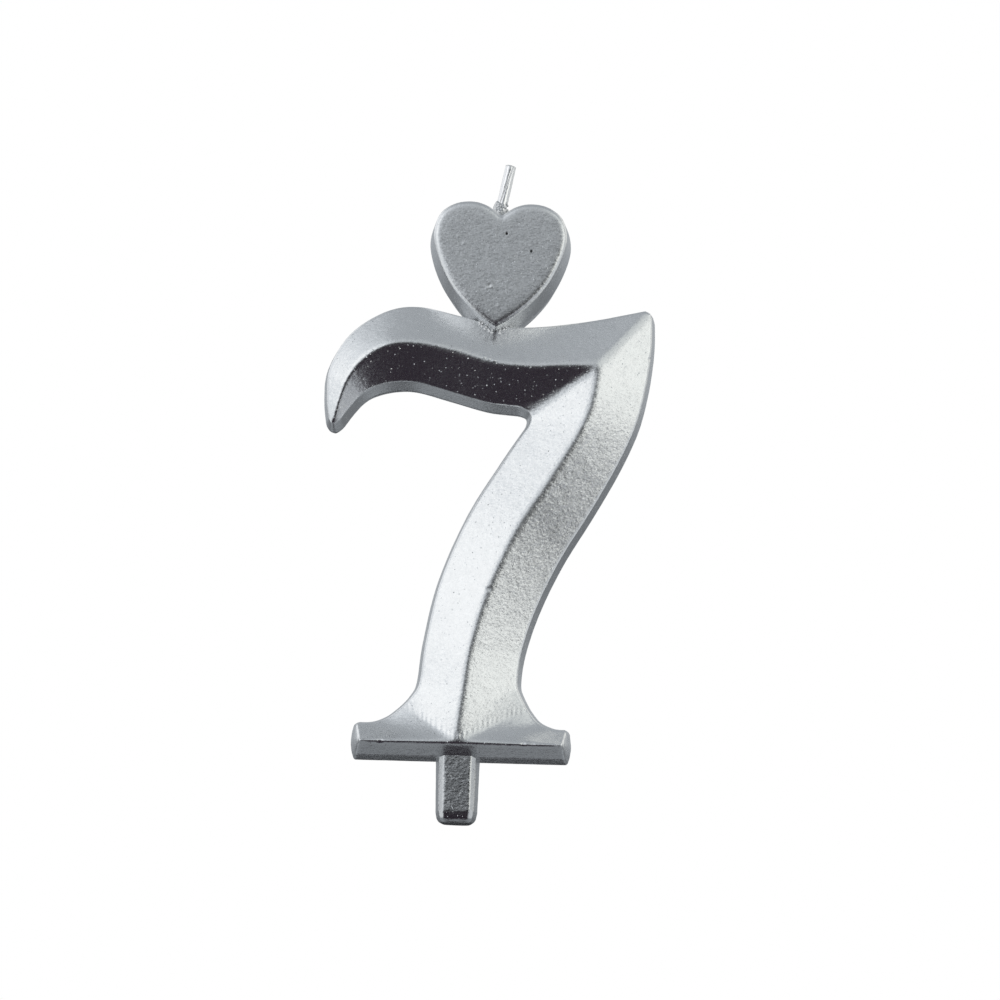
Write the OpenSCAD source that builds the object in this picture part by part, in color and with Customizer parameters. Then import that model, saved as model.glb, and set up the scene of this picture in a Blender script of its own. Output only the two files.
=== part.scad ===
// Number seven birthday candle: wax castings under a silver lacquer coat, a plaited cotton wick
// and a peg that is pushed into the cake. Millimetres, +Z up, front towards -Y.
// The origin is on the middle plane, at the foot's underside, on the peg's centre line.
// The casting is two-sided: the front half and the back half mirror each other in the plane y = 0.

/* [Numeral] */
// Depth of the rim, in front of and behind the middle plane
rim_depth = 3.2; // [2.6:0.1:3.6]
// Depth of the ridge line that runs along the middle of each stroke
ridge_depth = 5.8; // [5:0.1:6.4]
// Steepest rise of a stroke's facets, as rise over width
facet_pitch = 0.62; // [0.5:0.02:0.8]
// How far the walls lean out between the rim and the middle plane
draft = 0.5; // [0.1:0.05:0.6]

/* [Heart] */
// Depth of the heart's flat face, in front of and behind the middle plane
heart_depth = 5.8; // [5:0.1:6.4]
// Width of the rounded edge around the heart's face
heart_edge = 0.6; // [0.3:0.05:0.9]
// How far the heart's walls lean out between the face and the middle plane
heart_draft = 0.55; // [0.1:0.05:0.7]

/* [Peg] */
// Length of the peg below the foot
peg_length = 7.3; // [6:0.1:12]
// Full width of the peg at the foot
peg_width = 5.3; // [4:0.1:6]
// Full depth of the peg at the foot
peg_thick = 7.2; // [5:0.1:8]

/* [Wick] */
// Radius of one cotton yarn
yarn_r = 0.31; // [0.25:0.01:0.33]
// Radius of the circle that the yarns' centres follow
twist_r = 0.42; // [0.4:0.01:0.44]
// Length along the wick of one full turn of a yarn
twist_pitch = 26; // [12:1:60]

/* [Coat] */
// Thickness of the silver lacquer coat
coat_t = 0.2; // [0.1:0.05:0.25]

/* [Hidden] */

wax_colour = [0.93, 0.91, 0.86];
silver_colour = [0.66, 0.67, 0.69];
cotton_colour = [0.82, 0.82, 0.83];

ridge_rise = ridge_depth - rim_depth;
// Inside the coat, a facet's edge and ridge drop by these shares of the coat's thickness.
rim_drop = 0.6;
ridge_drop = 1.2;
foot_ridge_drop = 1.9;

// Rows across the stroke, [outer edge, ridge, inner edge], each point [x, z].
// The outer edge is the arm's top and the stem's right side.
ARM_ROWS = [
    [[-16.6, 40.4], [-16.0, 40.4], [-15.2, 40.4]],
    [[-16.9, 43.2], [-15.3, 42.9], [-14.0, 42.1]],
    [[-16.6, 46.9], [-14.3, 45.4], [-12.7, 43.6]],
    [[-14.2, 51.0], [-12.3, 47.8], [-11.2, 44.5]],
    [[-10.2, 53.7], [-9.4, 49.3], [-8.9, 45.1]],
    [[-6.3, 54.4], [-6.2, 49.5], [-6.2, 45.1]],
    [[-1.2, 53.4], [-1.8, 48.7], [-2.3, 44.1]],
    [[3.4, 52.3], [2.8, 47.4], [2.2, 42.9]],
    [[8.2, 52.3], [7.2, 47.0], [4.9, 42.6]],
    [[14.6, 53.2], [11.4, 47.2], [6.1, 42.5]],
    [[21.0, 54.6], [15.0, 47.3], [6.8, 42.3]]
];
CORNER_ROW = [[21.6, 54.3], [15.3, 47.1], [7.4, 41.9]];
STEM_ROWS = [
    [[21.8, 53.5], [15.5, 46.6], [7.6, 41.3]],
    [[21.8, 50.0], [15.2, 44.8], [7.5, 40.7]],
    [[21.2, 45.0], [14.8, 42.6], [7.3, 40.2]],
    [[20.0, 40.2], [13.9, 40.2], [6.9, 39.6]],
    [[17.8, 35.2], [12.4, 37.3], [6.3, 38.7]],
    [[14.9, 29.9], [9.6, 32.6], [4.4, 35.7]],
    [[11.4, 23.9], [6.0, 26.7], [0.7, 29.4]],
    [[8.7, 17.9], [3.1, 19.8], [-2.5, 21.5]],
    [[7.2, 12.9], [1.2, 13.1], [-4.1, 14.2]],
    [[6.8, 9.3], [0.4, 7.4], [-4.7, 9.2]],
    [[7.2, 7.8], [0.0, 4.2], [-5.5, 7.5]],
    [[8.1, 6.1], [-0.1, 1.8], [-6.5, 6.3]]
];
// Rows across the foot bar, [top edge, ridge], outwards from the stem to each end.
FOOT_RIGHT = [
    [[8.1, 6.1], [-0.1, 1.8]],
    [[9.4, 4.6], [4.6, 1.8]],
    [[11.2, 3.8], [9.0, 1.8]],
    [[12.7, 3.7], [12.2, 1.8]]
];
FOOT_LEFT = [
    [[-6.5, 6.3], [-0.1, 1.8]],
    [[-8.2, 4.9], [-4.4, 1.8]],
    [[-10.1, 4.1], [-8.4, 1.8]],
    [[-12.0, 4.0], [-11.5, 1.8]]
];
foot_rim_z = 0.3;
// Each end of the bar is a shallow arc: its points between the top edge and the bottom edge.
END_RIGHT = [[12.8, 2.9], [12.9, 2.0], [12.8, 1.1], [12.6, foot_rim_z]];
END_LEFT = [[-12.0, foot_rim_z], [-12.2, 1.1], [-12.3, 2.0], [-12.2, 3.1]];
HOOK_TIP = [-16.1, 39.8];
row_steps = 3;

// Half of the heart's face outline, from the notch round to the tip, about the tip's own axis.
HEART_HALF = [[0, 13.7], [1.6, 14.8], [3.4, 15.3], [5.5, 15.0], [7.3, 13.7], [8.0, 11.3],
              [7.5, 8.7], [6.3, 6.0], [4.8, 3.9], [3.0, 2.1], [1.3, 0.8], [0, 0]];
heart_x = 3.1;
heart_z = 51.7;
// The heart leans to the right by this angle.
heart_lean = 1.3;
heart_steps = 2;
// The edge around the face: [how far in from the outline, share of the edge's depth].
HEART_EDGE_RINGS = [[1, 0], [0.5, 0.15], [0.15, 0.5], [0, 1]];

// The wick is straight, and leans to the right out of the heart's notch.
WICK_FOOT = [-0.6, 0, 46.6];
WICK_TIP = [4.3, 0, 72.9];
wick_run = WICK_TIP - WICK_FOOT;
wick_length = norm(wick_run);
wick_lean = atan2(wick_run[0], wick_run[2]);
wick_bore_r = twist_r + yarn_r;
yarn_sides = 6;
yarn_ring_step = 0.6;
// Height of the heart's notch at the middle plane, and of the collar that sits in it
collar_z = 64.4;
collar_height = 4.3;
collar_foot_r = 1.1;
collar_top_r = 0.95;

// ---- Lists and curves ----

function unit(v) = v / max(norm(v), 0.0001);
function reversed(list) = [for (i = [len(list) - 1:-1:0]) list[i]];
function sub(list, first, last) = [for (i = [first:last]) list[i]];

// One value on a smooth curve through four neighbours, between b and c.
function smooth(a, b, c, d, t) =
    0.5 * (2 * b + (c - a) * t + (2 * a - 5 * b + 4 * c - d) * t * t
           + (3 * b - a - 3 * c + d) * t * t * t);

function through(rows, steps) = [
    for (i = [0:len(rows) - 2], s = [0:steps - 1])
        smooth(rows[max(i - 1, 0)], rows[i], rows[i + 1], rows[min(i + 2, len(rows) - 1)], s / steps),
    rows[len(rows) - 1]
];

// The direction that points out of a closed outline that runs clockwise, at its point k.
function outward(outline, k) =
    let (n = len(outline), along = unit(outline[(k + 1) % n] - outline[(k + n - 1) % n]))
    [-along[1], along[0]];

function grown(outline, by) = [for (k = [0:len(outline) - 1]) outline[k] + by * outward(outline, k)];
function at_depth(outline, y) = [for (p = outline) [p[0], y, p[1]]];

// ---- The numeral: one stroke from the hook to the foot, and the foot bar ----

STROKE = concat(through(ARM_ROWS, row_steps), [CORNER_ROW], through(STEM_ROWS, row_steps));
RIGHT = through(FOOT_RIGHT, row_steps);
LEFT = through(FOOT_LEFT, row_steps);
s_last = len(STROKE) - 1;
f_last = len(RIGHT) - 1;

// The rim's closed outline, clockwise from the hook, and the ridge point that each rim point rises to.
RIM = concat(
    [for (row = STROKE) row[0]],
    [for (i = [1:f_last]) RIGHT[i][0]],
    END_RIGHT,
    [for (i = [f_last:-1:1]) [RIGHT[i][1][0], foot_rim_z]],
    [[STROKE[s_last][1][0], foot_rim_z]],
    [for (i = [1:f_last]) [LEFT[i][1][0], foot_rim_z]],
    END_LEFT,
    [for (i = [f_last:-1:1]) LEFT[i][0]],
    [for (row = reversed(STROKE)) row[2]],
    [HOOK_TIP]
);
RIDGE = concat(
    [for (row = STROKE) row[1]],
    [for (i = [1:f_last]) RIGHT[i][1]],
    [for (i = [1:f_last]) LEFT[i][1]]
);
RISES_TO = concat(
    [for (i = [0:s_last]) i],
    [for (i = [1:f_last]) s_last + i],
    [for (p = END_RIGHT) s_last + f_last],
    [for (i = [f_last:-1:1]) s_last + i],
    [s_last],
    [for (i = [1:f_last]) s_last + f_last + i],
    [for (p = END_LEFT) s_last + 2 * f_last],
    [for (i = [f_last:-1:1]) s_last + f_last + i],
    [for (i = [s_last:-1:0]) i],
    [0]
);

// A narrow stroke, such as the hook's end, has a lower ridge than a wide one.
function half_width(row) = min(norm(row[0] - row[1]), norm(row[2] - row[1]));
function rise_at(i) = i > s_last ? ridge_rise : min(ridge_rise, facet_pitch * half_width(STROKE[i]));
function ridge_share(i) = i > s_last - row_steps ? foot_ridge_drop : ridge_drop;

// The numeral's skin, moved in by inset all over. The foot's underside is flat, at z = 0.
module numeral_solid(inset = 0) {
    n = len(RIM);
    m = len(RIDGE);
    rim = grown(RIM, -inset);
    middle = [for (p = grown(RIM, draft - inset)) [p[0], max(p[1], inset)]];
    edge_y = rim_depth - rim_drop * inset;
    front_ridge = [for (i = [0:m - 1])
        [RIDGE[i][0], -(rim_depth + rise_at(i) - ridge_share(i) * inset), RIDGE[i][1]]];
    back_ridge = [for (p = front_ridge) [p[0], -p[1], p[2]]];
    rings = concat(at_depth(rim, -edge_y), at_depth(middle, 0), at_depth(rim, edge_y));
    points = concat(rings, front_ridge, back_ridge);
    faces = [for (k = [0:n - 1])
        let (j = (k + 1) % n,
             a = RISES_TO[k],
             b = RISES_TO[j],
             front = 3 * n,
             back = 3 * n + m)
        each concat(
            [[k, j, front + b], [n + k, n + j, j], [n + k, j, k]],
            [[2 * n + k, 2 * n + j, n + j], [2 * n + k, n + j, n + k], [2 * n + j, 2 * n + k, back + b]],
            a == b ? [] : [[k, front + b, front + a], [2 * n + k, back + a, back + b]]
        )
    ];
    polyhedron(points, faces, convexity = 8);
}

// ---- Solids built as a stack of rings of equal length, each ring clockwise seen from its start ----

function middle_of(ring) = [for (p = ring) 1] * ring / len(ring);

// Each end is closed by triangles that meet at its middle, so that an end may have a notch.
module ring_stack(rings) {
    n = len(rings[0]);
    last = len(rings) - 1;
    first_hub = len(rings) * n;
    last_hub = first_hub + 1;
    polyhedron(
        concat([for (ring = rings) each ring], [middle_of(rings[0]), middle_of(rings[last])]),
        [for (k = [0:n - 1])
            let (j = (k + 1) % n)
            each concat(
                [[k, j, first_hub], [last * n + j, last * n + k, last_hub]],
                [for (r = [0:last - 1])
                    let (a = r * n, b = (r + 1) * n)
                    each [[a + k, b + j, a + j], [a + k, b + k, b + j]]]
            )
        ],
        convexity = 6
    );
}

// ---- The heart ----

HEART_RIGHT = through(HEART_HALF, heart_steps);
HEART_UPRIGHT = concat(
    HEART_RIGHT,
    [for (i = [len(HEART_RIGHT) - 2:-1:1]) [-HEART_RIGHT[i][0], HEART_RIGHT[i][1]]]
);
HEART = [for (p = HEART_UPRIGHT)
    [heart_x + p[0] * cos(heart_lean) + p[1] * sin(heart_lean),
     heart_z + p[1] * cos(heart_lean) - p[0] * sin(heart_lean)]];

module heart_solid(inset = 0) {
    face_y = heart_depth - inset;
    front = [for (e = HEART_EDGE_RINGS)
        at_depth(grown(HEART, -inset - heart_edge * e[0]), heart_edge * e[1] - face_y)];
    back = [for (ring = reversed(front)) [for (p = ring) [p[0], -p[1], p[2]]]];
    ring_stack(concat(front, [at_depth(grown(HEART, heart_draft - inset), 0)], back));
}

// ---- The peg: an eight-sided tapered stub with a rounded end, let into the foot ----

// Each level: [z, share of the full width and depth].
function peg_levels(inset) = [
    [2.2 - inset, 1],
    [-0.82 * peg_length, 0.94],
    [-0.93 * peg_length + inset / 2, 0.88],
    [-0.98 * peg_length + inset, 0.78],
    [-peg_length + inset, 0.66]
];
// One quarter of the peg's section, as shares of its half width and half depth.
PEG_QUARTER = [[1, 0], [0.85, 0.83], [0.62, 1]];

function peg_ring(level, inset) =
    let (w = level[1] * peg_width / 2 - inset,
         d = level[1] * peg_thick / 2 - inset,
         q = PEG_QUARTER)
    [for (p = concat(
        q,
        [[-q[2][0], q[2][1]], [-q[1][0], q[1][1]], [-q[0][0], 0]],
        [[-q[1][0], -q[1][1]], [-q[2][0], -q[2][1]], [q[2][0], -q[2][1]], [q[1][0], -q[1][1]]]))
        [w * p[0], d * p[1], level[0]]];

module peg_solid(inset = 0) {
    ring_stack(reversed([for (level = peg_levels(inset)) peg_ring(level, inset)]));
}

// ---- The wick ----

// Children stand on the wick's lower end and point along it.
module along_wick() {
    translate(WICK_FOOT) rotate([0, wick_lean, 0]) children();
}

module wick_bore() {
    along_wick() translate([0, 0, -0.01]) cylinder(h = wick_length + 5, r = wick_bore_r, $fn = 32);
}

module yarn(phase) {
    count = ceil(wick_length / yarn_ring_step);
    rings = [for (i = [0:count])
        let (z = wick_length * i / count, a = phase + 360 * z / twist_pitch)
        [for (s = [0:yarn_sides - 1])
            let (b = a + 360 * s / yarn_sides)
            [twist_r * cos(a) + yarn_r * cos(b), twist_r * sin(a) + yarn_r * sin(b), z]]];
    color(cotton_colour) along_wick() ring_stack(rings);
}

// ---- The parts ----

module numeral_wax() {
    color(wax_colour) difference() {
        numeral_solid(coat_t);
        heart_solid(coat_t);
        peg_solid(coat_t);
        wick_bore();
    }
}

module numeral_coat() {
    color(silver_colour) difference() {
        numeral_solid();
        numeral_solid(coat_t);
        heart_solid();
        peg_solid();
    }
}

module heart_wax() {
    color(wax_colour) difference() {
        heart_solid(coat_t);
        wick_bore();
    }
}

module heart_coat() {
    color(silver_colour) difference() {
        heart_solid();
        heart_solid(coat_t);
        numeral_solid(coat_t);
        wick_bore();
    }
}

module peg_wax() {
    color(wax_colour) peg_solid(coat_t);
}

module peg_coat() {
    color(silver_colour) difference() {
        peg_solid();
        peg_solid(coat_t);
        numeral_solid(coat_t);
    }
}

module wick_yarn_1() { yarn(118); }
module wick_yarn_2() { yarn(238); }
module wick_yarn_3() { yarn(358); }

module wick_collar() {
    foot = (collar_z - WICK_FOOT[2]) / cos(wick_lean);
    color(silver_colour) difference() {
        along_wick() translate([0, 0, foot]) rotate_extrude($fn = 24) polygon([
            [wick_bore_r, 0],
            [collar_foot_r, 0],
            [collar_foot_r, 0.6 * collar_height],
            [collar_top_r, 0.85 * collar_height],
            [wick_bore_r, collar_height]
        ]);
        heart_solid();
    }
}

numeral_wax();
numeral_coat();
heart_wax();
heart_coat();
peg_wax();
peg_coat();
wick_yarn_1();
wick_yarn_2();
wick_yarn_3();
wick_collar();
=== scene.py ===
# The number seven birthday candle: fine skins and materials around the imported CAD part.
# Shapes are built in the part's own frame in millimetres, and become metres in piece_from().
import math

import bmesh
import bpy
import numpy as np
from mathutils import Matrix, Vector, noise
from mathutils.bvhtree import BVHTree


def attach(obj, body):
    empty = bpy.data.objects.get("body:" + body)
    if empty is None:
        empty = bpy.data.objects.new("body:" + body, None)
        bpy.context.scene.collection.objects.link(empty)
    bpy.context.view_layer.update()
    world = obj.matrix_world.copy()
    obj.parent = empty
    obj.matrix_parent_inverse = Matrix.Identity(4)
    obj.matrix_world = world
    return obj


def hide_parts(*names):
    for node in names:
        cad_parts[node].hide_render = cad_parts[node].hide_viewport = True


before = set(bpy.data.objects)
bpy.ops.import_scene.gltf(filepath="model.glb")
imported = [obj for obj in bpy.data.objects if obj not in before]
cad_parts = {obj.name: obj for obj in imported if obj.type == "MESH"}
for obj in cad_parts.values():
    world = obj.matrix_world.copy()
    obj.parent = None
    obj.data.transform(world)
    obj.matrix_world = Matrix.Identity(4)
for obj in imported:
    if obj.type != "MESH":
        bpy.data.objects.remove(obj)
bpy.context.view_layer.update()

MM = 0.001
RANDOM = np.random.default_rng(7)

# ---- The candle's sizes, as in the CAD part, in millimetres ----

RIM_DEPTH = 3.2
RIDGE_DEPTH = 5.8
FACET_PITCH = 0.62
DRAFT = 0.5
HEART_DEPTH = 5.8
HEART_EDGE = 0.6
HEART_DRAFT = 0.55
PEG_LENGTH = 7.3
PEG_WIDTH = 5.3
PEG_THICK = 7.2
TWIST_PITCH = 26
YARN_PHASES = {"wick_yarn_1": 118, "wick_yarn_2": 238, "wick_yarn_3": 358}

# Rows across the stroke: outer edge, ridge, inner edge, each point x, z.
ARM_ROWS = [
    ((-16.6, 40.4), (-16.0, 40.4), (-15.2, 40.4)),
    ((-16.9, 43.2), (-15.3, 42.9), (-14.0, 42.1)),
    ((-16.6, 46.9), (-14.3, 45.4), (-12.7, 43.6)),
    ((-14.2, 51.0), (-12.3, 47.8), (-11.2, 44.5)),
    ((-10.2, 53.7), (-9.4, 49.3), (-8.9, 45.1)),
    ((-6.3, 54.4), (-6.2, 49.5), (-6.2, 45.1)),
    ((-1.2, 53.4), (-1.8, 48.7), (-2.3, 44.1)),
    ((3.4, 52.3), (2.8, 47.4), (2.2, 42.9)),
    ((8.2, 52.3), (7.2, 47.0), (4.9, 42.6)),
    ((14.6, 53.2), (11.4, 47.2), (6.1, 42.5)),
    ((21.0, 54.6), (15.0, 47.3), (6.8, 42.3)),
]
CORNER_ROW = ((21.6, 54.3), (15.3, 47.1), (7.4, 41.9))
STEM_ROWS = [
    ((21.8, 53.5), (15.5, 46.6), (7.6, 41.3)),
    ((21.8, 50.0), (15.2, 44.8), (7.5, 40.7)),
    ((21.2, 45.0), (14.8, 42.6), (7.3, 40.2)),
    ((20.0, 40.2), (13.9, 40.2), (6.9, 39.6)),
    ((17.8, 35.2), (12.4, 37.3), (6.3, 38.7)),
    ((14.9, 29.9), (9.6, 32.6), (4.4, 35.7)),
    ((11.4, 23.9), (6.0, 26.7), (0.7, 29.4)),
    ((8.7, 17.9), (3.1, 19.8), (-2.5, 21.5)),
    ((7.2, 12.9), (1.2, 13.1), (-4.1, 14.2)),
    ((6.8, 9.3), (0.4, 7.4), (-4.7, 9.2)),
    ((7.2, 7.8), (0.0, 4.2), (-5.5, 7.5)),
    ((8.1, 6.1), (-0.1, 1.8), (-6.5, 6.3)),
]
# Rows across the foot bar, top edge and ridge, outwards from the stem.
FOOT_RIGHT = [
    ((8.1, 6.1), (-0.1, 1.8)),
    ((9.4, 4.6), (4.6, 1.8)),
    ((11.2, 3.8), (9.0, 1.8)),
    ((12.7, 3.7), (12.2, 1.8)),
]
FOOT_LEFT = [
    ((-6.5, 6.3), (-0.1, 1.8)),
    ((-8.2, 4.9), (-4.4, 1.8)),
    ((-10.1, 4.1), (-8.4, 1.8)),
    ((-12.0, 4.0), (-11.5, 1.8)),
]
FOOT_RIM_Z = 0.3
END_RIGHT = [(12.8, 2.9), (12.9, 2.0), (12.8, 1.1), (12.6, FOOT_RIM_Z)]
END_LEFT = [(-12.0, FOOT_RIM_Z), (-12.2, 1.1), (-12.3, 2.0), (-12.2, 3.1)]
HOOK_TIP = (-16.1, 39.8)
ROW_STEPS = 10
NOSE_STEPS = 6

# Half of the heart's outline, from the notch round to the tip.
HEART_HALF = [(0, 13.7), (1.6, 14.8), (3.4, 15.3), (5.5, 15.0), (7.3, 13.7), (8.0, 11.3),
              (7.5, 8.7), (6.3, 6.0), (4.8, 3.9), (3.0, 2.1), (1.3, 0.8), (0, 0)]
HEART_X = 3.1
HEART_Z = 51.7
HEART_LEAN = math.radians(1.3)
HEART_STEPS = 8

WICK_FOOT = Vector((-0.6, 0, 46.6))
WICK_TIP = Vector((4.3, 0, 72.9))
COLLAR_Z = 64.4
COLLAR_HEIGHT = 4.3

# ---- The finish: marks, beads and lumps that only the fine skins have, in millimetres ----

# Each mark on a front face: x, z, radius, height, which is below 0 for a dimple.
NUMERAL_MARKS = [
    (3.2, 20.1, 0.45, -0.09), (-9.1, 1.7, 0.5, -0.14), (7.7, 1.9, 0.45, -0.12), (8.8, 2.0, 0.4, -0.14),
    (1.8, 48.0, 0.3, 0.10), (2.4, 47.8, 0.25, 0.08), (3.0, 47.6, 0.3, 0.10),
]
EDGE_MARK = (21.7, 48.7, 0.35, -0.12)
HEART_MARKS = [
    (2.2, 56.7, 0.26, -0.06), (2.5, 56.5, 0.22, 0.05), (1.9, 56.3, 0.22, 0.04), (-1.7, 62.6, 0.26, 0.025),
    (-1.0, 61.8, 0.24, 0.025), (0.4, 65.1, 0.26, 0.02), (3.3, 54.2, 0.26, 0.03), (6.9, 64.9, 0.26, 0.02),
    (9.0, 62.4, 0.24, 0.015),
]
HEART_PINHOLES = [(4.1, 63.1), (7.1, 61.0)]
PIT_RADIUS = 0.19
PIT_DEPTH = 0.17
# The line of beads under the heart, in steps of its outline from the tip: its end, and the gap at the tip.
SEAM_REACH = 23
SEAM_GAP = 3
# The waxed wick: its radius, and how much of that radius the grooves between the yarns take away.
WAXED_R = 0.65
GROOVE_SHARE = 0.08
YARN_HALF_ANGLE = math.radians(58)
YARN_CORE_R = 0.04
YARN_RINGS = 170
COLLAR_R = 0.84
COLLAR_TOP_R = 0.64
COLLAR_LUMPS = 150
# Where the skin of the foot's ridge is: deeper than this, below this height, with ends that fade in from here.
FOOT_RIDGE_DEPTH = 4.9
FOOT_RIDGE_TOP = 3
FOOT_RIDGE_ENDS = (-10.3, 11.0)
FOOT_RIDGE_FADE = 0.8

# ---- The finish's colours ----

# The darker and the lighter tone of the silver lacquer.
SILVERS = [(0.80, 0.81, 0.82), (0.84, 0.85, 0.86)]

# ---- The studio: greys by elevation, and patches of light ----

FRONT_GREYS = [(-90, 0.25), (-62, 0.06), (-20, 0.03), (-8, 0.04), (1, 0.08), (8, 0.18), (15, 0.30),
               (35, 0.42), (90, 0.40)]
BACK_GREYS = [(-90, 0.26), (-60, 0.27), (-28, 0.36), (-20, 0.22), (-12, 0.17), (-4, 0.18), (1, 0.27),
              (8, 0.40), (35, 0.42), (90, 0.40)]
# Each patch: azimuth, elevation, angle of its full part, angle where it has faded, colour.
PATCHES = [
    (-52, 18, 10, 54, (0.83, 0.87, 0.91)), (-50, 20, 5, 23, (1.22, 1.23, 1.23)),
    (52, 12, 19, 27, (1.13, 1.15, 1.11)), (30, 30, 8, 24, (0.75, 0.78, 0.77)),
    (-84, -20, 15, 32, (0.86, 0.89, 0.91)), (84, -18, 15, 32, (0.74, 0.77, 0.79)),
    (58, -28, 10, 26, (0.48, 0.50, 0.53)), (-5, -49, 26, 42, (0.028, 0.022, 0.030)),
    (-118, 30, 8, 38, (1.00, 1.02, 1.04)), (118, 28, 8, 38, (0.90, 0.91, 0.88)),
    (180, -13, 6, 14, (0.01, 0.01, 0.012)), (180, -46, 8, 18, (0.05, 0.05, 0.055)),
]
SUN_STRENGTH = 1.9
SUN_ANGLE = math.radians(70)
FLOOR_SIZE = 30.0
FLOOR_Z = -0.047

CAMERA_TARGET = Vector((4.13, -0.07, 31.65)) * MM
CAMERA_DISTANCE = 0.42
CAMERA_AZIMUTH = 0.6
CAMERA_ELEVATION = -9.5
CAMERA_ROLL = math.radians(1.6)
CAMERA_LENS = 126


# ---- Curves and closed shapes, as lists of points and faces ----

def through(rows, steps):
    """A smooth curve through rows of points, with that many steps from one row to the next."""
    r = np.array(rows, float)
    last = len(r) - 1
    out = []
    for i in range(last):
        a, b, c, d = r[max(i - 1, 0)], r[i], r[i + 1], r[min(i + 2, last)]
        for s in range(steps):
            t = s / steps
            bend = (2 * a - 5 * b + 4 * c - d) * t * t
            out.append(0.5 * (2 * b + (c - a) * t + bend + (3 * b - a - 3 * c + d) * t ** 3))
    return np.array(out + [r[last]])


def grown(outline, by):
    """A closed clockwise outline, moved outwards."""
    along = np.roll(outline, -1, 0) - np.roll(outline, 1, 0)
    along /= np.linalg.norm(along, axis=1)[:, None]
    return outline + by * np.stack([-along[:, 1], along[:, 0]], 1)


def at_depth(outline, y):
    """The points of an outline, x and z, at that depth."""
    return np.stack([outline[:, 0], np.full(len(outline), y), outline[:, 1]], 1)


def numeral_shape():
    """The numeral as one closed polyhedron, two-sided, with the same rows as the CAD part."""
    stroke = np.concatenate([through(ARM_ROWS, ROW_STEPS), [CORNER_ROW], through(STEM_ROWS, ROW_STEPS)])
    right = through(FOOT_RIGHT, ROW_STEPS)
    left = through(FOOT_LEFT, ROW_STEPS)
    s_last, f_last = len(stroke) - 1, len(right) - 1
    inner = list(range(1, f_last + 1))
    outer = inner[::-1]
    rim, rises_to = [], []

    def run(points, targets):
        rim.extend(points)
        rises_to.extend(targets)

    run([row[0] for row in stroke], range(s_last + 1))
    run([right[i][0] for i in inner], [s_last + i for i in inner])
    run(END_RIGHT, [s_last + f_last] * len(END_RIGHT))
    run([(right[i][1][0], FOOT_RIM_Z) for i in outer], [s_last + i for i in outer])
    run([(stroke[s_last][1][0], FOOT_RIM_Z)], [s_last])
    run([(left[i][1][0], FOOT_RIM_Z) for i in inner], [s_last + f_last + i for i in inner])
    run(END_LEFT, [s_last + 2 * f_last] * len(END_LEFT))
    run([left[i][0] for i in outer], [s_last + f_last + i for i in outer])
    run([row[2] for row in stroke[::-1]], range(s_last, -1, -1))
    nose = through([stroke[0][2], HOOK_TIP, stroke[0][0]], NOSE_STEPS)[1:-1]
    run(nose, [0] * len(nose))
    rim = np.array(rim)
    ridge = np.array([row[1] for row in stroke] + [side[i][1] for side in (right, left) for i in inner])
    full = RIDGE_DEPTH - RIM_DEPTH
    rise = np.full(len(ridge), full)
    for i, (a, b, c) in enumerate(stroke):
        rise[i] = min(full, FACET_PITCH * min(np.linalg.norm(a - b), np.linalg.norm(c - b)))
    front = np.stack([ridge[:, 0], -(RIM_DEPTH + rise), ridge[:, 1]], 1)
    n, m = len(rim), len(ridge)
    # The walls bulge outwards to the middle plane, but the foot's underside stays flat.
    middle = grown(rim, DRAFT)
    middle[:, 1] = np.maximum(middle[:, 1], 0)
    points = np.concatenate([at_depth(rim, -RIM_DEPTH), at_depth(middle, 0), at_depth(rim, RIM_DEPTH),
                             front, front * (1, -1, 1)])
    faces = []
    for k in range(n):
        j = (k + 1) % n
        a, b = rises_to[k], rises_to[j]
        f, g = 3 * n, 3 * n + m
        faces += [(j, k, f + b), (n + j, n + k, k, j), (2 * n + j, 2 * n + k, n + k, n + j),
                  (2 * n + k, 2 * n + j, g + b)]
        if a != b:
            faces += [(f + b, k, f + a), (g + a, 2 * n + k, g + b)]
    return points, faces


def ring_stack(rings):
    """A closed shape through rings of equal length."""
    n, last = len(rings[0]), len(rings) - 1
    hubs = len(rings) * n
    points = np.concatenate([*rings, [rings[0].mean(0), rings[last].mean(0)]])
    faces = []
    for k in range(n):
        j = (k + 1) % n
        faces += [(j, k, hubs), (last * n + k, last * n + j, hubs + 1)]
        faces += [(r * n + k, r * n + j, (r + 1) * n + j, (r + 1) * n + k) for r in range(last)]
    return points, faces


def heart_outline():
    """The heart's outline, x and z, clockwise from the notch."""
    half = through(HEART_HALF, HEART_STEPS)
    whole = np.concatenate([half, half[-2:0:-1] * (-1, 1)])
    c, s = math.cos(HEART_LEAN), math.sin(HEART_LEAN)
    x = HEART_X + whole[:, 0] * c + whole[:, 1] * s
    z = HEART_Z + whole[:, 1] * c - whole[:, 0] * s
    return np.stack([x, z], 1)


def heart_shape():
    """The heart with rounded edges and walls that bulge to the middle plane."""
    outline = heart_outline()
    edge = [(1, 0), (0.75, 0.04), (0.5, 0.15), (0.3, 0.31), (0.15, 0.5), (0.04, 0.75), (0, 1)]
    front = [at_depth(grown(outline, -HEART_EDGE * inwards), HEART_EDGE * back - HEART_DEPTH)
             for inwards, back in edge]
    rear = [ring * (1, -1, 1) for ring in front[::-1]]
    return ring_stack([*front, at_depth(grown(outline, HEART_DRAFT), 0), *rear])


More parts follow.
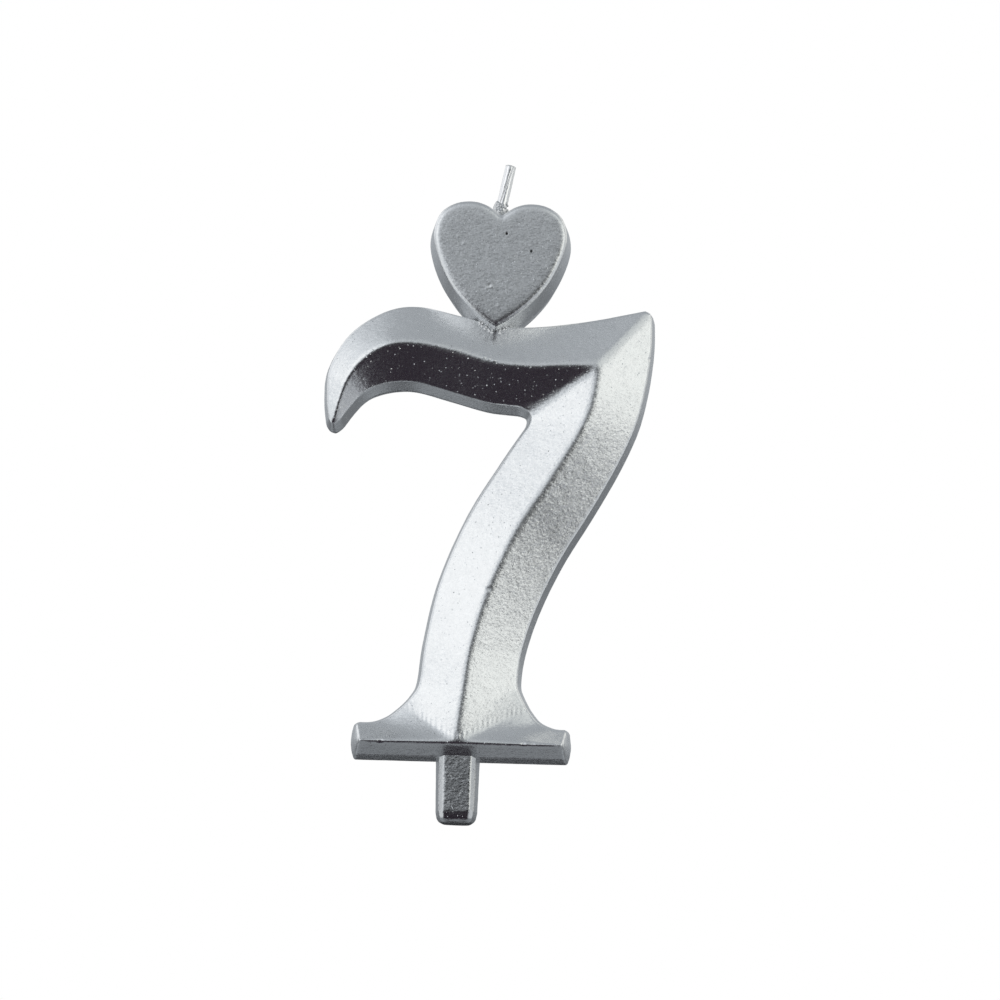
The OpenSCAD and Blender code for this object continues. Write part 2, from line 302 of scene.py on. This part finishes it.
def peg_shape():
    """The bevelled peg: rings of its section from inside the foot bar down to its small flat end."""
    levels = [(2.2, 1), (-0.82, 0.94), (-0.93, 0.88), (-0.98, 0.78), (-1, 0.66)]
    quarter = [(1, 0), (0.85, 0.83), (0.62, 1)]
    section = quarter + [(-quarter[2][0], quarter[2][1]), (-quarter[1][0], quarter[1][1]), (-1, 0)]
    section += [(-x, -y) for x, y in quarter[1:]] + [(x, -y) for x, y in quarter[:0:-1]]
    rings = []
    for z, share in levels:
        height = z if z > 0 else z * PEG_LENGTH
        w, d = share * PEG_WIDTH / 2, share * PEG_THICK / 2
        rings.append(np.array([(w * x, d * y, height) for x, y in section]))
    return ring_stack(rings)


def blob(centre, radii, turns=10, levels=7):
    """A small closed lump: rings of a squashed ball."""
    rings = []
    for level in range(1, levels):
        tilt = math.pi * level / levels
        rings.append(np.array([
            (centre[0] + radii[0] * math.sin(tilt) * math.cos(2 * math.pi * k / turns),
             centre[1] + radii[1] * math.sin(tilt) * math.sin(2 * math.pi * k / turns),
             centre[2] + radii[2] * math.cos(tilt)) for k in range(turns)]))
    return ring_stack(rings)


def joined(shapes):
    """Several closed shapes as one list of points and one of faces."""
    points, faces, start = [], [], 0
    for p, f in shapes:
        points.append(p)
        faces += [tuple(start + i for i in face) for face in f]
        start += len(p)
    return np.concatenate(points), faces


# ---- From a sharp shape to an even, softened skin ----

def even_skin(shape, voxel):
    """One closed skin of even quads over shapes that may overlap."""
    points, faces = shape
    sharp = bpy.data.meshes.new("sharp")
    sharp.from_pydata([tuple(p) for p in points], [], faces)
    holder = bpy.data.objects.new("sharp", sharp)
    bpy.context.scene.collection.objects.link(holder)
    skin = holder.modifiers.new("skin", "REMESH")
    skin.mode = "VOXEL"
    skin.voxel_size = voxel
    depsgraph = bpy.context.evaluated_depsgraph_get()
    mesh = bpy.data.meshes.new_from_object(holder.evaluated_get(depsgraph))
    bpy.data.objects.remove(holder)
    bpy.data.meshes.remove(sharp)
    return mesh


def get_points(mesh):
    co = np.empty(len(mesh.vertices) * 3, np.float32)
    mesh.vertices.foreach_get("co", co)
    return co.reshape(-1, 3).astype(float)


def set_points(mesh, co):
    mesh.vertices.foreach_set("co", np.ascontiguousarray(co, np.float32).ravel())
    mesh.update()


def get_normals(mesh):
    out = np.empty(len(mesh.vertices) * 3, np.float32)
    mesh.vertex_normals.foreach_get("vector", out)
    return out.reshape(-1, 3).astype(float)


def soften(mesh, rounds, most, extra_rounds=0, extra_from=0.0):
    """Rounds off sharp edges, with extra rounds for the ridges, which lie deeper than extra_from.

    No point moves much further than most, so the wax inside stays covered. The foot's ridge may move further,
    but not at its two ends, where the wax comes close to the surface.
    """
    co = start = get_points(mesh)
    n = len(co)
    pairs = np.empty(len(mesh.edges) * 2, np.int32)
    mesh.edges.foreach_get("vertices", pairs)
    a, b = pairs.reshape(-1, 2).T
    count = np.bincount(pairs, minlength=n)[:, None]
    ridge = np.clip((np.abs(start[:, 1:2]) - extra_from) / 0.6, 0, 1)
    for i in range(rounds + extra_rounds):
        total = np.stack([np.bincount(a, co[b, k], n) + np.bincount(b, co[a, k], n)
                          for k in range(3)], 1)
        share = 0.5 if i < rounds else 0.5 * ridge
        co = (1 - share) * co + share * total / count
    moved = co - start
    length = np.maximum(np.linalg.norm(moved, axis=1), 1e-9)[:, None]
    x, depth, z = start[:, :1], np.abs(start[:, 1:2]), start[:, 2:]
    left_end, right_end = FOOT_RIDGE_ENDS
    foot_ridge = (depth > FOOT_RIDGE_DEPTH) & (z < FOOT_RIDGE_TOP)
    near_end = np.clip(np.maximum(x - right_end, left_end - x) / FOOT_RIDGE_FADE, 0, 1)
    most = np.where(foot_ridge, (1.4 - 1.1 * near_end) * most, most)
    set_points(mesh, start + moved / length * most * np.tanh(length / most))


def ripple(co, size, seed):
    """Smooth noise from -1 to 1 at each point, with bumps of about that size."""
    shift = Vector((seed * 17.3, seed * 5.1, seed * 9.7))
    return np.array([noise.noise(Vector(p) / size + shift) for p in co])


def cast_surface(mesh, waves, seed):
    """The slight unevenness of poured wax under lacquer: waves is a list of (size, height)."""
    co = get_points(mesh)
    lift = sum(height * ripple(co, size, seed + i) for i, (size, height) in enumerate(waves))
    set_points(mesh, co + get_normals(mesh) * lift[:, None])


def refine(mesh, centre, radius):
    """Cuts the faces round a small feature finer, so that it can be shaped."""
    fine = bmesh.new()
    fine.from_mesh(mesh)
    near = [e for e in fine.edges if (e.verts[0].co - Vector(centre)).length < radius]
    bmesh.ops.subdivide_edges(fine, edges=near, cuts=3, use_grid_fill=True)
    fine.to_mesh(mesh)
    fine.free()


def with_beads(mesh, shapes):
    """Adds small closed lumps to a skin without melting them into it. The bead attribute marks them."""
    points, faces = joined(shapes)
    beads = bpy.data.meshes.new("beads")
    beads.from_pydata([tuple(p) for p in points], [], faces)
    both = bmesh.new()
    both.from_mesh(mesh)
    both.from_mesh(beads)
    both.to_mesh(mesh)
    both.free()
    bpy.data.meshes.remove(beads)
    marks = np.zeros(len(mesh.vertices), np.float32)
    marks[-len(points):] = 1
    mesh.attributes.new("bead", "FLOAT", "POINT").data.foreach_set("value", marks)


def pinhole(mesh, centre):
    """A pin-sized hollow where a bubble burst. An attribute marks it, and the lacquer paints it near black
    there: painted shade in the hollow.
    """
    refine(mesh, centre, 2 * PIT_RADIUS + 0.02)
    co = get_points(mesh)
    distance = np.linalg.norm(co - centre, axis=1)
    sink = PIT_DEPTH * np.clip(1 - (distance / PIT_RADIUS) ** 4, 0, 1)
    set_points(mesh, co - get_normals(mesh) * sink[:, None])
    attribute = mesh.attributes.get("pit_shade") or mesh.attributes.new("pit_shade", "FLOAT", "POINT")
    marks = np.zeros(len(co), np.float32)
    attribute.data.foreach_get("value", marks)
    # The painted shade is full near the middle of the pinhole and fades out by 0.19 mm from it.
    marks = np.maximum(marks, np.clip(1.6 - distance / 0.12, 0, 1)).astype(np.float32)
    attribute.data.foreach_set("value", marks)


def press(mesh, centre, radius, height):
    """A small round dimple (height below 0) or pimple on the surface at the centre."""
    co = get_points(mesh)
    distance = np.linalg.norm(co - centre, axis=1)
    near = np.clip(1 - (distance / radius) ** 2, 0, 1) ** 2
    set_points(mesh, co + get_normals(mesh) * (height * near)[:, None])


def piece_from(mesh, name, material, slot, *nodes):
    """Makes the mesh a finished piece in metres, which stands for the CAD nodes and rides on the root body."""
    mesh.transform(Matrix.Scale(MM, 4))
    mesh.polygons.foreach_set("use_smooth", [True] * len(mesh.polygons))
    mesh.materials.clear()
    mesh.materials.append(material)
    mesh.name = name
    piece = bpy.data.objects.new(name, mesh)
    bpy.context.scene.collection.objects.link(piece)
    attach(piece, "root")
    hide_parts(*nodes)


# ---- Materials ----

class Shader:
    """A node material with a texture space in millimetres."""

    def __init__(self, name):
        self.material = bpy.data.materials.new(name)
        self.material.use_nodes = True
        self.tree = self.material.node_tree
        self.surface = self.tree.nodes["Principled BSDF"]
        self.space = self.add("ShaderNodeMapping")
        self.space.inputs["Scale"].default_value = (1000, 1000, 1000)
        self.wire(self.add("ShaderNodeTexCoord").outputs["Object"], self.space.inputs["Vector"])

    def add(self, kind, **values):
        node = self.tree.nodes.new(kind)
        for key, value in values.items():
            setattr(node, key, value)
        return node

    def wire(self, source, target):
        self.tree.links.new(source, target)

    def noise(self, scale, detail=2.0, roughness=0.5, stretched=(1, 1, 1)):
        node = self.add("ShaderNodeTexNoise")
        node.inputs["Scale"].default_value = scale
        node.inputs["Detail"].default_value = detail
        node.inputs["Roughness"].default_value = roughness
        place = self.vector("MULTIPLY", self.space.outputs["Vector"], stretched).outputs[0]
        self.wire(place, node.inputs["Vector"])
        return node.outputs["Fac"]

    def cells(self, scale):
        """A random colour for each cell of a pattern."""
        node = self.add("ShaderNodeTexVoronoi")
        node.inputs["Scale"].default_value = scale
        self.wire(self.space.outputs["Vector"], node.inputs["Vector"])
        return node.outputs["Color"]

    def stretch(self, value, low, high, to_low, to_high):
        node = self.add("ShaderNodeMapRange")
        for key, number in (("From Min", low), ("From Max", high), ("To Min", to_low), ("To Max", to_high)):
            node.inputs[key].default_value = number
        self.wire(value, node.inputs["Value"])
        return node.outputs["Result"]

    def blend(self, factor, low, high):
        node = self.add("ShaderNodeMix", data_type="RGBA")
        for place, colour in ((6, low), (7, high)):
            if isinstance(colour, tuple):
                node.inputs[place].default_value = (*colour, 1)
            else:
                self.wire(colour, node.inputs[place])
        self.wire(factor, node.inputs[0])
        return node.outputs[2]

    def math(self, operation, a, b):
        node = self.add("ShaderNodeMath", operation=operation)
        for i, value in enumerate((a, b)):
            if isinstance(value, (int, float)):
                node.inputs[i].default_value = value
            else:
                self.wire(value, node.inputs[i])
        return node.outputs[0]

    def vector(self, operation, a, b):
        node = self.add("ShaderNodeVectorMath", operation=operation)
        for i, value in enumerate((a, b)):
            if isinstance(value, tuple):
                node.inputs[i].default_value = value
            else:
                self.wire(value, node.inputs[i])
        return node

    def bump(self, height, distance, strength, normal=None):
        node = self.add("ShaderNodeBump")
        node.inputs["Strength"].default_value = strength
        node.inputs["Distance"].default_value = distance * MM
        self.wire(height, node.inputs["Height"])
        if normal:
            self.wire(normal, node.inputs["Normal"])
        return node.outputs["Normal"]

    def tilted(self, normal, colour, amount):
        """Turns the normal by a random direction, cell by cell, as metal flakes do."""
        centred = self.vector("SUBTRACT", colour, (0.5, 0.5, 0.5)).outputs[0]
        scaled = self.vector("SCALE", centred, (0, 0, 0))
        if isinstance(amount, (int, float)):
            scaled.inputs["Scale"].default_value = amount
        else:
            self.wire(amount, scaled.inputs["Scale"])
        turned = self.vector("ADD", normal, scaled.outputs[0]).outputs[0]
        return self.vector("NORMALIZE", turned, (0, 0, 0)).outputs[0]


def silver_lacquer(name, grain, rough, tone=1.0):
    """Aluminium-pigment lacquer on wax: satin metal with a leathery grain and scattered glints."""
    s = Shader(name)
    cloud = s.stretch(s.noise(1.1, 4), 0.3, 0.7, 0, 1)
    pit_shade = s.add("ShaderNodeAttribute", attribute_name="pit_shade").outputs["Fac"]
    dark, light = [tuple(tone * level for level in colour) for colour in SILVERS]
    metal = s.blend(cloud, dark, light)
    # Painted shade: where the pit attribute is set, the base colour goes near black, so the pinholes look like
    # dark hollows.
    s.wire(s.blend(pit_shade, metal, (0.01, 0.01, 0.01)), s.surface.inputs["Base Color"])
    bead = s.add("ShaderNodeAttribute", attribute_name="bead").outputs["Fac"]
    s.wire(s.stretch(bead, 0, 1, 1.0, 0.0), s.surface.inputs["Metallic"])
    uneven = s.stretch(s.noise(3.2, 3), 0.25, 0.75, rough - 0.04, rough + 0.04)
    s.wire(uneven, s.surface.inputs["Roughness"])
    peel = s.bump(s.noise(1.3, 2, 0.5), 0.03, grain)
    sand = s.bump(s.noise(2.9, 2, 0.6, (0.8, 1, 1.1)), 0.075, grain, peel)
    fine = s.tilted(sand, s.cells(8.0), 0.08)
    glint = s.cells(9.0)
    chosen = s.add("ShaderNodeSeparateColor")
    s.wire(glint, chosen.inputs[0])
    rare = s.math("GREATER_THAN", chosen.outputs[2], 0.990)
    s.wire(s.tilted(fine, glint, s.math("MULTIPLY", rare, 0.75)), s.surface.inputs["Normal"])
    return s.material


def candle_wax(name):
    """Milky paraffin wax, slightly uneven."""
    s = Shader(name)
    milk = s.blend(s.noise(0.6, 4), (0.90, 0.88, 0.82), (0.95, 0.94, 0.90))
    s.wire(milk, s.surface.inputs["Base Color"])
    s.wire(s.stretch(s.noise(2.5, 3), 0.3, 0.7, 0.42, 0.58), s.surface.inputs["Roughness"])
    s.surface.inputs["Subsurface Weight"].default_value = 0.3
    s.surface.inputs["Subsurface Scale"].default_value = 0.0015
    s.wire(s.bump(s.noise(1.8, 4), 0.03, 0.4), s.surface.inputs["Normal"])
    return s.material


def lacquered_cotton(name):
    """Cotton thread that wax and silver lacquer have run up: crumpled and shiny, like foil."""
    s = Shader(name)
    fibre = s.noise(4.0, 3, 0.6, (1, 1, 0.5))
    silvered = s.blend(fibre, (0.80, 0.80, 0.81), (0.94, 0.94, 0.95))
    s.wire(silvered, s.surface.inputs["Base Color"])
    s.surface.inputs["Metallic"].default_value = 1.0
    s.wire(s.stretch(s.noise(7, 2), 0.3, 0.7, 0.14, 0.26), s.surface.inputs["Roughness"])
    s.wire(s.tilted(s.bump(fibre, 0.04, 0.2), s.cells(5.0), 0.06), s.surface.inputs["Normal"])
    return s.material


# ---- The pieces ----

def heart_seam():
    """Droplets of wax and lacquer along the line where the heart's wall meets the arm, front and back."""
    points, faces = numeral_shape()
    numeral_tree = BVHTree.FromPolygons([tuple(p) for p in points], faces)
    outline = grown(heart_outline(), 0.3)
    tip = HEART_STEPS * (len(HEART_HALF) - 1)
    drops = []
    for k in range(tip - SEAM_REACH, tip + SEAM_REACH + 1, 2):
        x, z = outline[k]
        hit = numeral_tree.ray_cast(Vector((x, -20, z)), Vector((0, 1, 0)))[0]
        if hit is None or abs(k - tip) < SEAM_GAP:
            continue
        for side, below in ((-1, 0), (-1, 0.35), (1, 0), (1, 0.35)):
            size = RANDOM.uniform(0.13, 0.21)
            aside = RANDOM.uniform(-0.1, 0.1, 2)
            drops.append(blob((x + aside[0], side * (abs(hit.y) + 0.08), z - below + aside[1]),
                              (size, size, size * RANDOM.uniform(0.8, 1.2)), 8, 6))
    return drops


def fold_valleys(mesh):
    """Fine upright folds where the stem's facets run into the foot's."""
    co = get_points(mesh)
    x, y, z = co.T
    valley = np.where(x < -0.1, 2.0 + (-0.1 - x) * 0.6, 2.0 + (x + 0.1) * 0.48)
    near = np.exp(-((z - valley - 0.5) / 0.55) ** 2) * (np.abs(y) > RIM_DEPTH)
    near = near * ((x > -7.2) & (x < 8.4))
    folds = np.sin(x * 11 + 2.2 * ripple(co * (1, 0, 0), 1.3, 5))
    uneven = 0.6 + 0.8 * ripple(co, 1.7, 9)
    set_points(mesh, co + get_normals(mesh) * (0.022 * near * folds * uneven)[:, None])


def build_numeral(material):
    mesh = even_skin(numeral_shape(), 0.15)
    soften(mesh, 5, 0.18, 40, RIDGE_DEPTH - 1.1)
    fold_valleys(mesh)
    cast_surface(mesh, [(2.6, 0.012), (0.8, 0.008)], 1)
    for x, z, radius, height in NUMERAL_MARKS:
        press(mesh, (x, -RIDGE_DEPTH + 0.1, z), radius, height)
    x, z, radius, height = EDGE_MARK
    press(mesh, (x, -RIM_DEPTH, z), radius, height)
    piece_from(mesh, "numeral_skin", material, "silver_lacquer", "numeral_coat")


def crown(mesh):
    """The heart's faces sink slightly towards their edge and towards the tip."""
    co = get_points(mesh)
    outline = heart_outline()
    place = co[:, [0, 2]]
    face = np.abs(co[:, 1]) > HEART_DEPTH - 0.4
    to_edge = np.full(len(co), 9.0)
    for p in outline[::2]:
        to_edge = np.minimum(to_edge, np.linalg.norm(place - p, axis=1))
    to_tip = np.linalg.norm(place - (HEART_X, HEART_Z), axis=1)
    sink = 0.06 * np.clip(1 - to_edge / 1.8, 0, 1) ** 2 + 0.10 * np.clip(1 - to_tip / 5, 0, 1) ** 2
    co[:, 1] -= np.sign(co[:, 1]) * sink * face
    set_points(mesh, co)


def build_heart(material):
    mesh = even_skin(heart_shape(), 0.13)
    soften(mesh, 5, 0.13)
    crown(mesh)
    cast_surface(mesh, [(2.2, 0.010), (0.7, 0.005)], 11)
    for x, z in HEART_PINHOLES:
        pinhole(mesh, (x, -HEART_DEPTH, z))
    for x, z, radius, height in HEART_MARKS:
        press(mesh, (x, -HEART_DEPTH, z), radius, height)
    with_beads(mesh, heart_seam())
    piece_from(mesh, "heart_skin", material, "silver_lacquer", "heart_coat")


def build_peg(material):
    mesh = even_skin(peg_shape(), 0.13)
    soften(mesh, 5, 0.13)
    cast_surface(mesh, [(1.8, 0.015), (0.6, 0.012)], 21)
    piece_from(mesh, "peg_skin", material, "silver_lacquer", "peg_coat")


def wick_frame():
    """The wick's length, its direction, and the direction square to it that lies across the candle."""
    run = WICK_TIP - WICK_FOOT
    along = run.normalized()
    side = Vector((along.z, 0, -along.x))
    return run.length, along, side


def on_wick(distance, radius, angle):
    """A point that far up the wick, off its axis by the radius."""
    _, along, side = wick_frame()
    out = side * math.cos(angle) + Vector((0, 1, 0)) * math.sin(angle)
    return WICK_FOOT + along * distance + out * radius


def build_yarn(name, phase, material):
    """One of the wick's three yarns: a third of a waxed rod, rounded off towards the grooves beside it."""
    length = wick_frame()[0]
    rings = []
    for i in range(YARN_RINGS + 1):
        s = length * i / YARN_RINGS
        middle = math.radians(phase) + 2 * math.pi * s / TWIST_PITCH
        section = []
        for k in range(-7, 8):
            turn = YARN_HALF_ANGLE * k / 7
            lumps = 0.02 * noise.noise(Vector((s * 2.3, turn * 1.5, phase)))
            radius = WAXED_R * (1 - GROOVE_SHARE * abs(k / 7) ** 6) + lumps
            section.append(on_wick(s, radius, middle + turn))
        section.append(on_wick(s, YARN_CORE_R, middle))
        rings.append(np.array([tuple(p) for p in section]))
    points, faces = ring_stack(rings[::-1])
    mesh = bpy.data.meshes.new(name)
    mesh.from_pydata([tuple(p) for p in points], [], faces)
    piece_from(mesh, name + "_waxed", material, "wick_cotton", name)


def build_collar(material):
    """The lumpy bead of wax and lacquer that climbs the wick out of the heart's notch."""
    along = wick_frame()[1]
    start = (COLLAR_Z - WICK_FOOT.z) / along.z
    lumps = []
    for i in range(COLLAR_LUMPS):
        share = i / (COLLAR_LUMPS - 1)
        taper = max(share - 0.75, 0) / 0.25
        size = RANDOM.uniform(0.10, 0.19)
        turn = RANDOM.uniform(0, 2 * math.pi)
        height = start + COLLAR_HEIGHT * (0.05 + 0.85 * share)
        centre = on_wick(height, COLLAR_R + (COLLAR_TOP_R - COLLAR_R) * taper, turn)
        lumps.append(blob(centre, (size, size, size * 1.2)))
    foot = on_wick(start + 1.4, 0, 0)
    lumps.append(blob(foot, (0.92, 0.92, 2.9), 16, 12))
    mesh = even_skin(joined(lumps), 0.07)
    soften(mesh, 2, 0.06)
    cast_surface(mesh, [(0.35, 0.04)], 31)
    piece_from(mesh, "wick_collar_bead", material, "silver_lacquer", "wick_collar")


def dress_cad_node(name, material):
    """Gives a CAD node that stays as it is a material."""
    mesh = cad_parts[name].data
    mesh.materials.clear()
    mesh.materials.append(material)


# ---- Stage, light and camera ----

def build_floor():
    """A wide pale floor below the candle, which the lacquer doesn't mirror."""
    mesh = bpy.data.meshes.new("floor")
    corners = [(x * FLOOR_SIZE, y * FLOOR_SIZE, FLOOR_Z) for x, y in ((-1, -1), (1, -1), (1, 1), (-1, 1))]
    mesh.from_pydata(corners, [], [(0, 1, 2, 3)])
    s = Shader("pale_floor")
    pale = s.blend(s.noise(0.02, 2), (0.86, 0.86, 0.86), (0.88, 0.88, 0.88))
    s.wire(pale, s.surface.inputs["Base Color"])
    s.surface.inputs["Roughness"].default_value = 0.9
    mesh.materials.append(s.material)
    floor = bpy.data.objects.new("floor", mesh)
    bpy.context.scene.collection.objects.link(floor)
    floor.visible_glossy = False


def towards(azimuth, elevation):
    """A direction: azimuth 0 is the candle's front, and 90 is to its right."""
    a, e = math.radians(azimuth), math.radians(elevation)
    return (math.sin(a) * math.cos(e), -math.cos(a) * math.cos(e), math.sin(e))


def build_light():
    """A soft studio round the candle: grey tent, dark below the front, white panels to the sides."""
    world = bpy.data.worlds.new("studio")
    bpy.context.scene.world = world
    world.use_nodes = True
    tree = world.node_tree
    nodes, links = tree.nodes, tree.links
    nodes.clear()
    direction = nodes.new("ShaderNodeTexCoord").outputs["Generated"]
    split = nodes.new("ShaderNodeSeparateXYZ")
    links.new(direction, split.inputs[0])

    def ramp(height, greys):
        """Cool greys by elevation: a list of (elevation, level)."""
        node = nodes.new("ShaderNodeValToRGB")
        links.new(height, node.inputs[0])
        elements = node.color_ramp.elements
        for i, (elevation, level) in enumerate(greys):
            place = (math.sin(math.radians(elevation)) + 1) / 2
            element = elements[i] if i < 2 else elements.new(place)
            element.position = place
            element.color = (level * 0.94, level, level * 1.06, 1)
        return node.outputs[0]

    def graded(value, low, high):
        node = nodes.new("ShaderNodeMapRange")
        node.interpolation_type = "SMOOTHSTEP"
        node.inputs["From Min"].default_value = low
        node.inputs["From Max"].default_value = high
        links.new(value, node.inputs["Value"])
        return node.outputs["Result"]

    def mixed(factor, below, above):
        node = nodes.new("ShaderNodeMix")
        node.data_type = "RGBA"
        links.new(factor, node.inputs[0])
        links.new(below, node.inputs[6])
        if isinstance(above, tuple):
            node.inputs[7].default_value = (*above, 1)
        else:
            links.new(above, node.inputs[7])
        return node.outputs[2]

    rise = nodes.new("ShaderNodeMapRange")
    rise.inputs["From Min"].default_value = -1
    rise.inputs["From Max"].default_value = 1
    links.new(split.outputs["Z"], rise.inputs["Value"])
    front = ramp(rise.outputs["Result"], FRONT_GREYS)
    back = ramp(rise.outputs["Result"], BACK_GREYS)
    light = mixed(graded(split.outputs["Y"], -0.3, 0.3), front, back)
    for azimuth, elevation, full, faded, colour in PATCHES:
        dot = nodes.new("ShaderNodeVectorMath")
        dot.operation = "DOT_PRODUCT"
        links.new(direction, dot.inputs[0])
        dot.inputs[1].default_value = towards(azimuth, elevation)
        edge, core = math.cos(math.radians(faded)), math.cos(math.radians(full))
        light = mixed(graded(dot.outputs["Value"], edge, core), light, colour)
    around = nodes.new("ShaderNodeBackground")
    links.new(light, around.inputs["Color"])
    paper = nodes.new("ShaderNodeBackground")
    paper.inputs["Color"].default_value = (1, 1, 1, 1)
    seen = nodes.new("ShaderNodeLightPath").outputs["Is Camera Ray"]
    both = nodes.new("ShaderNodeMixShader")
    links.new(seen, both.inputs[0])
    links.new(around.outputs[0], both.inputs[1])
    links.new(paper.outputs[0], both.inputs[2])
    links.new(both.outputs[0], nodes.new("ShaderNodeOutputWorld").inputs["Surface"])

    lamp = bpy.data.lights.new("overhead", "SUN")
    lamp.energy = SUN_STRENGTH
    lamp.angle = SUN_ANGLE
    holder = bpy.data.objects.new("overhead", lamp)
    holder.visible_glossy = False
    bpy.context.scene.collection.objects.link(holder)


def build_camera():
    """The candle's middle seen from a little below, with the camera turned slightly about its own axis."""
    back = Vector(towards(CAMERA_AZIMUTH, CAMERA_ELEVATION))
    level = Vector((0, 0, 1)).cross(back).normalized()
    upright = back.cross(level)
    right = level * math.cos(CAMERA_ROLL) + upright * math.sin(CAMERA_ROLL)
    up = upright * math.cos(CAMERA_ROLL) - level * math.sin(CAMERA_ROLL)
    data = bpy.data.cameras.new("camera")
    data.lens = CAMERA_LENS
    data.sensor_width = 36
    data.clip_start = 0.01
    camera = bpy.data.objects.new("camera", data)
    turned = Matrix((right, up, back)).transposed().to_4x4()
    camera.matrix_world = Matrix.Translation(CAMERA_TARGET + back * CAMERA_DISTANCE) @ turned
    bpy.context.scene.collection.objects.link(camera)
    bpy.context.scene.camera = camera


# ---- Putting it together ----

build_camera()
build_light()
build_floor()
bpy.context.scene.view_settings.view_transform = "Standard"

wax = candle_wax("candle_wax")
cotton = lacquered_cotton("lacquered_cotton")

build_numeral(silver_lacquer("silver_lacquer_numeral", 0.36, 0.28))
build_heart(silver_lacquer("silver_lacquer_heart", 0.30, 0.30))
# The peg has the numeral's silver lacquer, painted darker by a tone of 0.80: painted shade on the same
# lacquer.
build_peg(silver_lacquer("silver_lacquer_peg_shaded", 0.6, 0.25, 0.80))
for yarn_name, yarn_phase in YARN_PHASES.items():
    build_yarn(yarn_name, yarn_phase, cotton)
build_collar(silver_lacquer("silver_lacquer_collar", 0.8, 0.24, 0.74))
for node in ("numeral_wax", "heart_wax", "peg_wax"):
    dress_cad_node(node, wax)
